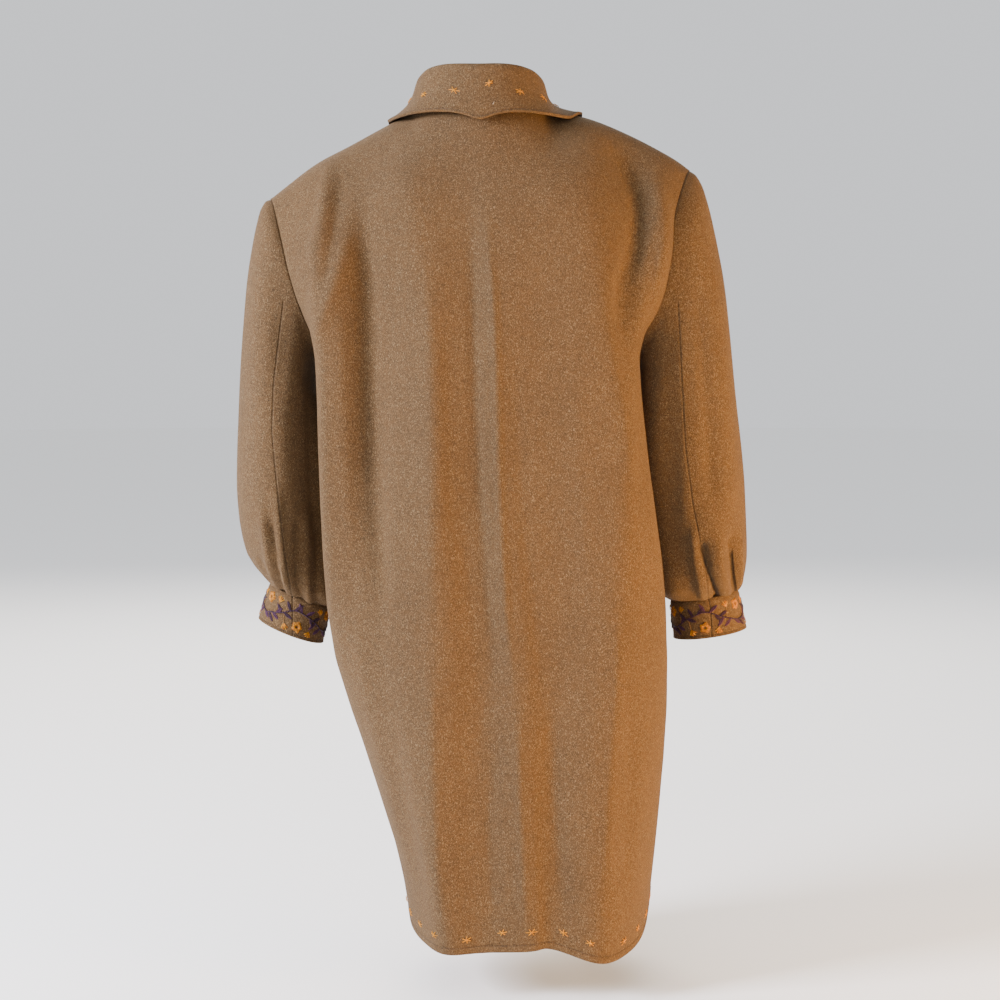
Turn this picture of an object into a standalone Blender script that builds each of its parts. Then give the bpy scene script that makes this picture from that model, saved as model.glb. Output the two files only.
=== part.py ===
"""A long wool coat, filled out as if worn, with nobody in it.

The coat is a back panel, two plain fronts that hang open, two full sleeves
gathered into straight cuffs, and a turned-down collar.
Metres, +Z up. The front of the coat faces -Y and the wearer's left is +X.
The origin is the middle of the neck, level with the foot of the collar.
Each panel is a loft between unlike sections: the sections are tabled below in
millimetres, and a smooth surface through them is given the cloth's thickness.
"""
import math

import bmesh
import bpy
import numpy as np
from mathutils.bvhtree import BVHTree

# Driving sizes, in millimetres
WALL = 2.4            # thickness of the felted wool
SEAM_PULL = 0.17      # each side of a seam stands back by this much
UNDERARM_Z = -285.0   # height of the underarm point
NECK_HALF_WIDTH = 75.0
NECK_BACK_Y = 78.0
NECK_BACK_Z = 4.0
NECK_FRONT = (14.0, -86.0, -58.0)     # where the left front edge meets the neck
NECK_SIDE_Z = {"left": 12.0, "right": 10.0}
WOOL = "#8E6B4F"

# Shoulder seam, from the neck out to the tip: distance from the middle, height
SHOULDER = {
    "left": ((75, 12), (115, -10), (158, -34), (202, -58), (230, -79), (253, -97)),
    "right": ((75, 10), (130, -1), (173, -18), (216, -40), (238, -53), (251, -63)),
}

# The back's fold lines from the wearer's left to right, and the columns of
# faces between each line and the next.
BACK_LINES = ("side_l", "flute_l", "hollow_l", "ridge_b", "valley", "ridge_c",
              "shallow", "ridge_d", "hollow_r", "flute_r", "side_r")
BACK_COLUMNS = (4, 4, 4, 4, 2, 4, 4, 3, 3, 4)
SHOULDER_X = {"side_l": 253, "flute_l": 190, "hollow_l": 140, "ridge_b": 75,
              "shallow": -75, "ridge_d": -130, "hollow_r": -175, "flute_r": -212,
              "side_r": -251}

# Levels down the coat. Above the underarm a level is a share of the drop from
# the shoulder to the underarm; below, it is a height. Rows is how many rows of
# faces lead to it from the level above.
LEVELS = (
    # name      share  height   rows
    ("blade",    0.25, None,    2),
    ("armhole",  0.55, None,    3),
    ("low_arm",  0.80, None,    2),
    ("pit",      0.94, None,    1),
    ("underarm", 1.00, None,    1),
    ("rib",      None, -400.0,  2),
    ("elbow",    None, -520.0,  2),
    ("cuff",     None, -640.0,  2),
    ("thigh",    None, -760.0,  2),
    ("knee",     None, -860.0,  2),
    ("hem",      None, None,    2),
)
ROLL_ROWS = 2         # rows over the round of the shoulder, above "blade"

# Where each fold line of the back stands at each level, to the side (x)
BACK_X = {
    # level     side_l flute hollow ridge_b valley ridge_c shallow ridge_d hollow flute side_r
    "blade":    (236,  186,  141,   86,     15,    -10,    -84,    -133,   -177,  -206, -228),
    "armhole":  (222,  182,  133,   73,     11,    -9,     -74,    -138,   -178,  -207, -219),
    "low_arm":  (206,  187,  126,   64,     10,    -14,    -67,    -144,   -170,  -194, -208),
    "pit":      (193,  189,  122,   60,     10,    -16,    -66,    -147,   -166,  -187, -190),
    "underarm": (186,  189,  121,   60,     10,    -17,    -67,    -148,   -165,  -185, -181),
    "rib":      (170,  187,  122,   56,      8,    -17,    -73,    -158,   -178,  -196, -172),
    "elbow":    (165,  184,  134,   56,      6,    -24,    -88,    -160,   -190,  -213, -180),
    "cuff":     (163,  170,  129,   55,     -9,    -36,    -86,    -155,   -192,  -220, -205),
    "thigh":    (138,  127,   97,   54,     -8,    -41,    -81,    -145,   -184,  -213, -214),
    "knee":     (106,   96,   76,   50,    -10,    -47,    -81,    -141,   -176,  -202, -209),
    "hem":      (87,    80,   62,   37,    -10,    -51,    -82,    -139,   -168,  -190, -206),
}
# The same for the depth (y), towards the back
BACK_Y = {
    # level     side_l flute hollow ridge_b valley ridge_c shallow ridge_d hollow flute side_r
    "blade":    (46,   74,   72,    90,     95,    98,     93,     82,     58,    62,   46),
    "armhole":  (57,   101,  92,    114,    110,   115,    111,    104,    79,    82,   54),
    "low_arm":  (47,   99,   90,    121,    113,   119,    113,    108,    88,    77,   46),
    "pit":      (29,   94,   89,    123,    114,   120,    114,    108,    92,    71,   28),
    "underarm": (0,    92,   89,    124,    115,   121,    114,    108,    94,    64,   0),
    "rib":      (-5,   88,   90,    128,    117,   123,    116,    110,    98,    68,   -5),
    "elbow":    (-8,   78,   96,    131,    119,   126,    117,    117,    97,    62,   -8),
    "cuff":     (-10,  58,   98,    134,    121,   129,    120,    123,    96,    52,   -10),
    "thigh":    (-6,   60,   101,   134,    123,   132,    122,    127,    96,    50,   -10),
    "knee":     (-6,   58,   101,   132,    123,   132,    124,    129,    97,    50,   -16),
    "hem":      (-20,  42,   92,    124,    121,   130,    124,    130,    99,    50,   -40),
}
HEM_Z = (-946, -958, -964, -967, -965, -962, -960, -976, -974, -966, -934)

# The fronts: how far the front edge stands to the side, how deep the front is,
# and the armhole's front edge, at each level.
FRONT = {
    # level     edge_l edge_r depth  armhole_l      armhole_r
    "blade":    (13,   -13,   -101,  (232, -40),    (-228, -40)),
    "armhole":  (13,   -13,   -117,  (216, -52),    (-216, -52)),
    "low_arm":  (13,   -13,   -122,  (204, -43),    (-206, -43)),
    "pit":      (13,   -13,   -123,  (193, -27),    (-190, -27)),
    "underarm": (13,   -14,   -124,  None,          None),
    "rib":      (13,   -18,   -127,  None,          None),
    "elbow":    (12,   -25,   -131,  None,          None),
    "cuff":     (5,    -38,   -135,  None,          None),
    "thigh":    (-8,   -54,   -137,  None,          None),
    "knee":     (-22,  -70,   -136,  None,          None),
    "hem":      (-32,  -82,   -133,  None,          None),
}
BACK_NECK_FALL = 0.3      # how steeply the back leaves the neck; the front does so fully
FRONT_NECK_COLUMNS = 6
FRONT_NECK_TURN = 0.14    # share of the turn from side to front edge under the neck
FRONT_NECK_BOW = 5.0      # how far the front neckline bows out from straight
FRONT_CORNER = 2.7        # 2 is an ellipse; more is a squarer turn at the side
FRONT_EDGE_HEM_Z = -944.0
FRONT_FLUTES = 2.5        # soft waves across each front
FRONT_FLUTE_HEIGHT = 6.0  # at the hem, fading out upwards

# Sleeve sections from the armhole down: outer point and inner point of the
# section, then the middle's depth and half the depth, back to front.
SLEEVE = {
    "left": (
        # name      x_out z_out  x_in z_in   y_mid half_depth rows
        ("cap",     265, -110,   195, -293,   1,   57,        2),
        ("upper",   277, -172,   194, -320,  -3,   61,        2),
        ("biceps",  285, -262,   188, -356,  -9,   67,        3),
        ("elbow",   290, -352,   183, -400,  -16,  70,        2),
        ("forearm", 294, -445,   179, -460,  -26,  69,        2),
        ("full",    287, -512,   175, -530,  -35,  66,        2),
        ("puff",    274, -548,   175, -576,  -43,  60,        2),
        ("wrist",   259, -568,   184, -586,  -46,  42,        1),
    ),
    "right": (
        ("cap",     266, -82,    200, -297,   1,   55,        2),
        ("upper",   283, -150,   200, -324,  -3,   60,        2),
        ("biceps",  295, -248,   198, -358,  -9,   67,        3),
        ("elbow",   306, -345,   197, -400,  -16,  70,        2),
        ("forearm", 317, -435,   202, -460,  -26,  69,        2),
        ("full",    321, -508,   209, -530,  -35,  66,        2),
        ("puff",    319, -548,   216, -575,  -43,  60,        2),
        ("wrist",   315, -571,   230, -584,  -46,  43,        1),
    ),
}
# Tucks above the cuff, on the outer back of the sleeve: the place round the
# sleeve (0 outer, 90 back, 180 inner, in degrees), its width, and its height.
TUCKS = (
    # place width height
    (22,    13,   4.5),
    (52,    12,   -4.0),
    (78,    12,   4.0),
    (108,   13,   -3.5),
    (140,   16,   3.0),
    (236,   18,   2.5),
    (300,   18,   2.5),
)
# Long soft folds down the sleeve: place round it, width, height, and the share
# of the length where each is highest.
SLEEVE_FOLDS = (
    # place width height peak spread
    (112,   26,   -6.0, 0.55, 0.45),
    (72,    22,   4.0,  0.62, 0.35),
    (20,    30,   3.5,  0.55, 0.35),
    (200,   30,   -5.0, 0.40, 0.35),
    (270,   34,   4.0,  0.60, 0.40),
)
CUFF_HEIGHT = 46.0
CUFF_FLARE = {"left": 1.05, "right": 1.05}
CUFF_ROWS = 2

# Collar, at places round the neck from the back (0) to the front edge (1):
# height of the fold above the neck seam and how far it leans out, then the
# same for the middle of the fall and for the outer edge of the fall.
COLLAR = (
    # place fold_up fold_out mid_out mid_up edge_out edge_up
    (0.00,  50,     1,       11,     20,    22,      -16),
    (0.05,  50,     1,       11,     22,    21,      -9),
    (0.14,  49,     0,       10,     20,    22,      -6),
    (0.26,  43,    -1,       8,      13,    26,      -9),
    (0.38,  32,    -2,       7,      6,     32,      -14),
    (0.49,  22,    -2,       9,      2,     38,      -19),
    (0.65,  19,     2,       17,    -1,     46,      -26),
    (0.82,  16,     4,       21,    -6,     54,      -32),
    (1.00,  14,     4,       21,    -10,    50,      -40),
)
COLLAR_RIGHT_REACH = 1.25 # the fall spreads wider over the right shoulder
COLLAR_RIGHT_TUCK = 0.4   # and stands straighter above it
COLLAR_LIFT = 0.5         # the collar's foot stands this far above the neck edge
COLLAR_BEND = 4.0         # radius of the outside of the fold
FALL_ROW = 5              # first row of the collar past the top of the fold
COLLAR_CLEAR = 3.2        # the fall stays this far off the coat below it

MM = 0.001


def spline(knots, values, at):
    """Smooth curve through values at the knots, read at the places asked for."""
    knots = np.asarray(knots, float)
    values = np.asarray(values, float)
    step = np.diff(knots)
    shape = (-1,) + (1,) * (values.ndim - 1)
    slope = np.diff(values, axis=0) / step.reshape(shape)
    tangent = np.empty_like(values)
    before, after = step[:-1].reshape(shape), step[1:].reshape(shape)
    tangent[1:-1] = (slope[:-1] * after + slope[1:] * before) / (before + after)
    tangent[0] = 1.5 * slope[0] - 0.5 * tangent[1]
    tangent[-1] = 1.5 * slope[-1] - 0.5 * tangent[-2]
    out = []
    for place in at:
        i = min(max(int(np.searchsorted(knots, place, side="right")) - 1, 0), len(step) - 1)
        h = step[i]
        t = (place - knots[i]) / h
        out.append(values[i] * (2 * t**3 - 3 * t**2 + 1) + values[i + 1] * (3 * t**2 - 2 * t**3)
                   + tangent[i] * h * (t**3 - 2 * t**2 + t) + tangent[i + 1] * h * (t**3 - t**2))
    return np.array(out)


def smooth_step(t):
    """Ease from 0 to 1 as t goes from 0 to 1."""
    t = min(max(t, 0.0), 1.0)
    return t * t * (3 - 2 * t)


def unit(vectors):
    """Vectors scaled to length 1."""
    length = np.linalg.norm(vectors, axis=-1, keepdims=True)
    return vectors / np.maximum(length, 1e-9)


def running(counts):
    """Running total of counts, starting at 0."""
    return np.concatenate(([0], np.cumsum(counts)))


def shoulder_point(side, x):
    """Point on the shoulder seam at a distance x from the middle."""
    table = np.array(SHOULDER[side], float)
    height = spline(table[:, 0], table[:, 1], [abs(x)])[0]
    return np.array((x, 0.0, height))


def back_top():
    """The back's top edge: shoulder seam, neck curve, shoulder seam."""
    points = []
    for k, columns in enumerate(BACK_COLUMNS):
        name, after = BACK_LINES[k], BACK_LINES[k + 1]
        for i in range(columns):
            if name in SHOULDER_X and after in SHOULDER_X:
                x = SHOULDER_X[name] + (SHOULDER_X[after] - SHOULDER_X[name]) * i / columns
                points.append(shoulder_point("left" if x > 0 else "right", x))
    first = len([p for p in points if p[0] > 0])
    neck_columns = sum(BACK_COLUMNS[3:6])
    neck = []
    for i in range(neck_columns + 1):
        angle = math.pi * i / neck_columns
        rise = abs(math.cos(angle)) ** 1.6
        side_z = NECK_SIDE_Z["left"] if angle < math.pi / 2 else NECK_SIDE_Z["right"]
        neck.append(np.array((NECK_HALF_WIDTH * math.cos(angle),
                              NECK_BACK_Y * math.sin(angle) ** 0.85 if 0 < i < neck_columns else 0.0,
                              NECK_BACK_Z + (side_z - NECK_BACK_Z) * rise)))
    end = shoulder_point("right", SHOULDER_X["side_r"])
    right = [p for p in points[first:] if p[0] < -NECK_HALF_WIDTH - 0.5]
    return np.array(points[:first] + neck + right + [end])


def level_rows():
    """The row of points at each level, by name, after the shoulder's roll."""
    rows = running([ROLL_ROWS] + [level[3] for level in LEVELS])
    return {level[0]: int(rows[k + 2]) for k, level in enumerate(LEVELS)}


def level_heights(top_z, hem_z):
    """Height of one column of the cloth at each level."""
    heights = []
    for name, share, height, rows in LEVELS:
        if name == "hem":
            heights.append(hem_z)
        elif share is None:
            heights.append(height)
        else:
            heights.append(top_z + (UNDERARM_Z - top_z) * share)
    return heights


def drape(top, sections, steep):
    """Loft from the top edge down through the sections, one point a column.

    The cloth first rolls over the shoulder; where steep is 1, below the neck,
    it falls away at once instead.
    """
    rows = running([ROLL_ROWS] + [level[3] for level in LEVELS])
    first = sections[0]
    roll = np.array([top[j] + (first[j] - top[j])
                     * (0.34, 0.52 - 0.18 * steep[j], 0.17 + 0.15 * steep[j])
                     for j in range(len(top))])
    return spline(rows, np.array([top, roll] + list(sections)), range(rows[-1] + 1))


def back_panel():
    """Outer face of the back, as rows of points from the neck to the hem."""
    top = back_top()
    lines = running(BACK_COLUMNS)
    columns = range(lines[-1] + 1)
    hem = spline(lines, HEM_Z, columns)
    heights = np.array([level_heights(top[j][2], hem[j]) for j in columns])
    sections = []
    for k, level in enumerate(LEVELS):
        x = spline(lines, BACK_X[level[0]], columns)
        y = spline(lines, BACK_Y[level[0]], columns)
        sections.append(np.stack((x, y, heights[:, k]), axis=1))
    left_neck, right_neck = sum(BACK_COLUMNS[:3]), sum(BACK_COLUMNS[:6])
    steep = [BACK_NECK_FALL * smooth_step(min(j - left_neck + 4, right_neck + 4 - j) / 4) for j in columns]
    return drape(top, sections, steep)


def front_panel(side, back):
    """Outer face of one front, from the side seam to the open front edge."""
    sign = 1 if side == "left" else -1
    shoulder_columns = sum(BACK_COLUMNS[:3]) if side == "left" else sum(BACK_COLUMNS[6:])
    edge_top = np.array(NECK_FRONT) * (sign, 1, 1)
    back_edge = back if side == "left" else back[:, ::-1]
    top = [back_edge[0, j] for j in range(shoulder_columns + 1)]
    neck_side = top[-1]
    for i in range(1, FRONT_NECK_COLUMNS + 1):
        along = i / FRONT_NECK_COLUMNS
        bow = FRONT_NECK_BOW * math.sin(math.pi * along)
        point = neck_side + (edge_top - neck_side) * (along, along, along ** 1.15)
        top.append(point + np.array((sign * bow, -bow * 0.7, 0.0)))
    top = np.array(top)
    count = len(top)
    rows = level_rows()
    hem_side = back_edge[-1, 0][2]
    sections = []
    for k, level in enumerate(LEVELS):
        edge_l, edge_r, depth, arm_l, arm_r = FRONT[level[0]]
        edge_x = edge_l if side == "left" else edge_r
        arm = arm_l if side == "left" else arm_r
        start = back_edge[rows[level[0]], 0] if arm is None else np.array((arm[0], arm[1], 0.0))
        section = []
        for j in range(count):
            under_neck = (j - shoulder_columns) / FRONT_NECK_COLUMNS
            turn = (1 - FRONT_NECK_TURN) * min(j / shoulder_columns, 1.0)
            turn += FRONT_NECK_TURN * max(under_neck, 0.0)
            angle = math.pi / 2 * turn
            power = 2 / FRONT_CORNER
            x = edge_x + (start[0] - edge_x) * math.cos(angle) ** power if j < count - 1 else edge_x
            y = start[1] + (depth - start[1]) * math.sin(angle) ** power if j else start[1]
            hem_z = hem_side + (FRONT_EDGE_HEM_Z - hem_side) * smooth_step(turn)
            z = level_heights(top[j][2], hem_z)[k]
            fade = smooth_step((UNDERARM_Z - z) / 500.0) * math.sin(math.pi * turn) ** 0.5
            wave = math.cos(2 * math.pi * FRONT_FLUTES * turn + (0.6 if side == "left" else 0.1))
            section.append((x, y - FRONT_FLUTE_HEIGHT * fade * wave, z))
        sections.append(np.array(section))
    steep = [smooth_step((j - shoulder_columns + 4) / 4) for j in range(count)]
    grid = drape(top, sections, steep)
    grid[rows["underarm"]:, 0] = back_edge[rows["underarm"]:, 0]
    return grid


def surface_normals(grid, outward, around=False):
    """Unit normals of a grid of points, each turned to agree with outward."""
    if around:
        ring = np.concatenate((grid[:, -1:], grid, grid[:, :1]), axis=1)
        across = ring[:, 2:] - ring[:, :-2]
    else:
        across = np.gradient(grid, axis=1)
    down = np.gradient(grid, axis=0)
    normals = unit(np.cross(across, down))
    turned = np.sum(normals * outward(grid), axis=-1)
    if np.sum(turned) < 0:
        normals = -normals
    return normals


def from_axis(grid):
    """Directions straight out from the middle of the body."""
    centre = np.array((0.0, 0.0, 0.0))
    out = (grid - centre) * (1, 1, 0)
    return unit(out)


def from_ring_centres(grid):
    """Directions out from the middle of each ring of points."""
    return unit(grid - grid.mean(axis=1, keepdims=True))


def share_normals(a, b):
    """One normal for both pieces where two edges of cloth meet at a seam."""
    mean = unit(a + b)
    return mean, mean.copy()


def pull_edges(outer, inner, normals, edges, around=False):
    """Move the named edges of a wall back along the cloth, for the seam gap.

    Both pieces at a seam share its points and normals, so they move apart
    squarely and keep the same gap all along it.
    """
    shift = np.zeros_like(outer)
    for edge, pull in edges:
        at, toward = {"top": (0, 1), "bottom": (-1, -2), "start": (0, 1), "end": (-1, -2)}[edge]
        if edge in ("top", "bottom"):
            line, inward, normal = outer[at], outer[toward] - outer[at], normals[at]
        else:
            line, inward, normal = outer[:, at], outer[:, toward] - outer[:, at], normals[:, at]
        if around:
            along = np.roll(line, -1, axis=0) - np.roll(line, 1, axis=0)
        else:
            along = np.gradient(line, axis=0)
        square = unit(np.cross(normal, unit(along)))
        square *= np.where(np.sum(square * inward, axis=-1) < 0, -1.0, 1.0)[:, None]
        if edge in ("top", "bottom"):
            shift[at] += square * pull
        else:
            shift[:, at] += square * pull
    return outer + shift, inner + shift


def wall_object(name, outer, inner, collection, around=False):
    """A closed wall of cloth between an outer and an inner grid of points."""
    rows, columns = outer.shape[:2]
    mesh = bmesh.new()
    skins = []
    for grid in (outer, inner):
        skins.append([[mesh.verts.new(point * MM) for point in row] for row in grid])
    last = columns if around else columns - 1
    for i in range(rows - 1):
        for j in range(last):
            k = (j + 1) % columns
            for skin in skins:
                mesh.faces.new((skin[i][j], skin[i + 1][j], skin[i + 1][k]))
                mesh.faces.new((skin[i][j], skin[i + 1][k], skin[i][k]))
    for j in range(last):
        k = (j + 1) % columns
        mesh.faces.new((skins[0][0][k], skins[1][0][k], skins[1][0][j], skins[0][0][j]))
        mesh.faces.new((skins[0][-1][j], skins[1][-1][j], skins[1][-1][k], skins[0][-1][k]))
    if not around:
        for i in range(rows - 1):
            mesh.faces.new((skins[0][i][0], skins[1][i][0], skins[1][i + 1][0], skins[0][i + 1][0]))
            mesh.faces.new((skins[0][i + 1][-1], skins[1][i + 1][-1], skins[1][i][-1], skins[0][i][-1]))
    bmesh.ops.recalc_face_normals(mesh, faces=mesh.faces)
    if mesh.calc_volume(signed=True) < 0:
        bmesh.ops.reverse_faces(mesh, faces=mesh.faces)
    data = bpy.data.meshes.new(name)
    mesh.to_mesh(data)
    mesh.free()
    data.shade_smooth()
    data.set_sharp_from_angle(angle=math.radians(50))
    data.materials.append(wool_material(name))
    piece = bpy.data.objects.new(name, data)
    collection.objects.link(piece)
    return piece


def linear(colour):
    """Linear RGBA from an sRGB hex string."""
    values = [int(colour[i:i + 2], 16) / 255 for i in (1, 3, 5)]
    return [v / 12.92 if v <= 0.04045 else ((v + 0.055) / 1.055) ** 2.4 for v in values] + [1.0]


def wool_material(piece_name):
    """Matt brown felted wool for one piece."""
    material = bpy.data.materials.new(f"wool_{piece_name}")
    material.use_nodes = True
    shader = material.node_tree.nodes["Principled BSDF"]
    shader.inputs["Base Color"].default_value = linear(WOOL)
    shader.inputs["Roughness"].default_value = 0.95
    shader.inputs["Metallic"].default_value = 0.0
    return material


def smooth_neck_normals(back, front_left, front_right):
    """Even out the normals along the neck edge, so its rim doesn't twist."""
    left_neck, right_neck = sum(BACK_COLUMNS[:3]), sum(BACK_COLUMNS[:6])
    right_shoulder = sum(BACK_COLUMNS[6:])
    left_count = len(front_left[0]) - left_neck
    line = np.concatenate((front_left[0, left_neck:][::-1], back[0, left_neck + 1:right_neck],
                           front_right[0, right_shoulder:]))
    for turn in range(4):
        line[1:-1] = unit(line[:-2] + 2 * line[1:-1] + line[2:])
    front_left[0, left_neck:] = line[:left_count][::-1]
    front_right[0, right_shoulder:] = line[len(line) - len(front_right[0]) + right_shoulder:]
    back[0, left_neck:right_neck + 1] = line[left_count - 1:left_count + right_neck - left_neck]


def body_walls():
    """Outer and inner grids of the back and the two fronts, seams matched."""
    back = back_panel()
    grids = {"back": back, "front_left": front_panel("left", back),
             "front_right": front_panel("right", back)}
    arm_row = level_rows()["underarm"]
    normals = {name: surface_normals(grid, from_axis) for name, grid in grids.items()}
    left_shoulder = sum(BACK_COLUMNS[:3]) + 1
    right_shoulder = sum(BACK_COLUMNS[6:]) + 1
    b, fl, fr = normals["back"], normals["front_left"], normals["front_right"]
    b[0, :left_shoulder], fl[0, :left_shoulder] = share_normals(b[0, :left_shoulder],
                                                                fl[0, :left_shoulder])
    right_back = b[0, ::-1][:right_shoulder]
    right_mean = unit(right_back + fr[0, :right_shoulder])
    b[0, len(b[0]) - right_shoulder:] = right_mean[::-1]
    fr[0, :right_shoulder] = right_mean
    smooth_neck_normals(b, fl, fr)
    b[arm_row:, 0], fl[arm_row:, 0] = share_normals(b[arm_row:, 0], fl[arm_row:, 0])
    b[arm_row:, -1], fr[arm_row:, 0] = share_normals(b[arm_row:, -1], fr[arm_row:, 0])
    return grids, normals, arm_row


def armhole(side, grids, arm_row):
    """Closed armhole from the shoulder tip, down the back and up the front."""
    column = 0 if side == "left" else -1
    back = grids["back"][:arm_row + 1, column]
    front = grids[f"front_{side}"][:arm_row + 1, 0]
    return np.concatenate((back, front[-2:0:-1]))


def sleeve_panel(side, ring):
    """Outer face of a sleeve: rings from the armhole to the top of the cuff."""
    sign = 1 if side == "left" else -1
    count = len(ring)
    sections = [ring]
    tip, pit = ring[0], ring[count // 2]
    armhole_reach = (tip - pit) / 2
    armhole_depth = max(abs(point[1]) for point in ring)
    armhole_angles = []
    for k, point in enumerate(ring):
        up = np.dot(point - (tip + pit) / 2, armhole_reach) / np.dot(armhole_reach, armhole_reach)
        angle = math.atan2(point[1] / armhole_depth, up)
        armhole_angles.append(angle if k <= count // 2 else angle % (2 * math.pi))
    for i, row in enumerate(SLEEVE[side]):
        name, x_out, z_out, x_in, z_in, y_mid, half_depth, rows = row
        centre = np.array((sign * (x_out + x_in) / 2, y_mid, (z_out + z_in) / 2))
        reach = np.array((sign * (x_out - x_in) / 2, 0.0, (z_out - z_in) / 2))
        even = min(i / 4, 1.0)
        section = []
        for k in range(count):
            angle = 2 * math.pi * k / count * even + armhole_angles[k] * (1 - even)
            section.append(centre + reach * math.cos(angle)
                           + np.array((0, half_depth, 0)) * math.sin(angle))
        sections.append(np.array(section))
    knots = running([row[7] for row in SLEEVE[side]])
    grid = spline(knots, np.array(sections), range(knots[-1] + 1))
    outward = from_ring_centres(grid)
    for i in range(1, knots[-1] + 1):
        along = i / knots[-1]
        for k in range(count):
            place = 360 * k / count
            height = 0.0
            for centre, width, rise, peak, spread in SLEEVE_FOLDS:
                near = (place - centre + 180) % 360 - 180
                height += rise * math.exp(-(near / width) ** 2 - ((along - peak) / spread) ** 2)
            for centre, width, rise in TUCKS:
                near = (place - centre + 180) % 360 - 180
                height += rise * math.exp(-(near / width) ** 2) * smooth_step((along - 0.72) / 0.2)
            hold = smooth_step(along / 0.25) * (1 - smooth_step((along - 0.93) / 0.07))
            grid[i, k] += outward[i, k] * height * hold
    return grid


def cuff_panel(side, wrist):
    """Outer face of a cuff: a straight band hanging on from the sleeve's end."""
    outer_point = wrist[0]
    inner_point = wrist[len(wrist) // 2]
    back_point = wrist[len(wrist) // 4]
    down = unit(np.cross(inner_point - outer_point, back_point - wrist.mean(axis=0)))
    if down[2] > 0:
        down = -down
    centre = wrist.mean(axis=0)
    rings = []
    for i in range(CUFF_ROWS + 1):
        share = i / CUFF_ROWS
        flare = 1 + (CUFF_FLARE[side] - 1) * share
        rings.append(centre + down * CUFF_HEIGHT * share + (wrist - centre) * flare)
    return np.array(rings)


def finer(line):
    """The same line of points with one more in the middle of each stretch."""
    out = []
    for first, second in zip(line[:-1], line[1:]):
        out += [first, (first + second) / 2]
    return np.array(out + [line[-1]])


def collar_walls(grids, walls):
    """Outer and inner grids of the collar, from the left front to the right."""
    left_neck = sum(BACK_COLUMNS[:3])
    right_neck = sum(BACK_COLUMNS[:6])
    right_shoulder = sum(BACK_COLUMNS[6:])
    seams = []
    for skin in (0, 1):
        seams.append(finer(np.concatenate((walls["front_left"][skin][0, left_neck:][::-1],
                                           walls["back"][skin][0, left_neck + 1:right_neck],
                                           walls["front_right"][skin][0, right_shoulder:]))))
    seam_out, seam_in = seams
    length = running(np.linalg.norm(np.diff(seam_out, axis=0), axis=1))
    middle = length[-1] / 2
    coat = bmesh.new()
    for grid in grids.values():
        verts = [[coat.verts.new(p) for p in row] for row in grid]
        for i in range(len(grid) - 1):
            for j in range(len(grid[0]) - 1):
                coat.faces.new((verts[i][j], verts[i + 1][j], verts[i + 1][j + 1], verts[i][j + 1]))
    below = BVHTree.FromBMesh(coat)
    coat.free()
    rise = np.array((0, 0, 1.0))

    def clear_of_coat(point, room):
        """The point, lifted where it would touch the coat under it."""
        hit = below.ray_cast(tuple(point + rise * 60), (0, 0, -1), 60 + 30)
        if hit[0] is not None:
            point[2] = max(point[2], hit[0][2] + room)
        return point

    table = np.array(COLLAR, float)
    paths = []
    for j, (foot_out, foot_in) in enumerate(zip(seam_out, seam_in)):
        share = abs(length[j] - middle) / middle
        fold_up, fold_out, mid_out, mid_up, edge_out, edge_up = [
            float(v) for v in spline(table[:, 0], table[:, 1:], [share])[0]]
        if length[j] > middle:
            over_shoulder = smooth_step((share - 0.1) / 0.3)
            edge_out *= 1 + (COLLAR_RIGHT_REACH - 1) * over_shoulder
            mid_out *= 1 - COLLAR_RIGHT_TUCK * over_shoulder * (1 - smooth_step((share - 0.5) / 0.2))
        out = unit(foot_out * (1, 1, 0))
        lift = rise * COLLAR_LIFT
        fold = foot_out + out * fold_out + rise * fold_up
        middle_of_fall = foot_out + out * (mid_out + WALL) + rise * mid_up
        edge = foot_out + out * edge_out + rise * edge_up
        path = [foot_in + lift,
                foot_in * 0.5 + (fold - out * WALL) * 0.5,
                fold - out * WALL - rise * COLLAR_BEND * 1.3,
                fold - out * (WALL * 0.55) + rise * COLLAR_BEND * 0.1,
                fold + out * COLLAR_BEND * 0.65 + rise * (COLLAR_BEND * 0.6),
                fold + out * (COLLAR_BEND * 1.75) + rise * (COLLAR_BEND * 0.05),
                (fold + out * (COLLAR_BEND * 2.1) - rise * COLLAR_BEND) * 0.45
                + middle_of_fall * 0.55,
                middle_of_fall * 0.75 + edge * 0.25,
                edge]
        paths.append(path)
    face = np.array(paths).transpose(1, 0, 2)
    normals = surface_normals(face, lambda g: np.zeros_like(g))
    if normals[-2, len(paths) // 2][1] < 0:
        normals = -normals
    inner = face - normals * WALL
    inner[0] = seam_out + rise * COLLAR_LIFT
    for i in range(FALL_ROW, len(face)):
        for j in range(len(paths)):
            lifted = clear_of_coat(inner[i, j].copy(), COLLAR_CLEAR)
            face[i, j] += lifted - inner[i, j]
            inner[i, j] = lifted
    return face, inner


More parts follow.
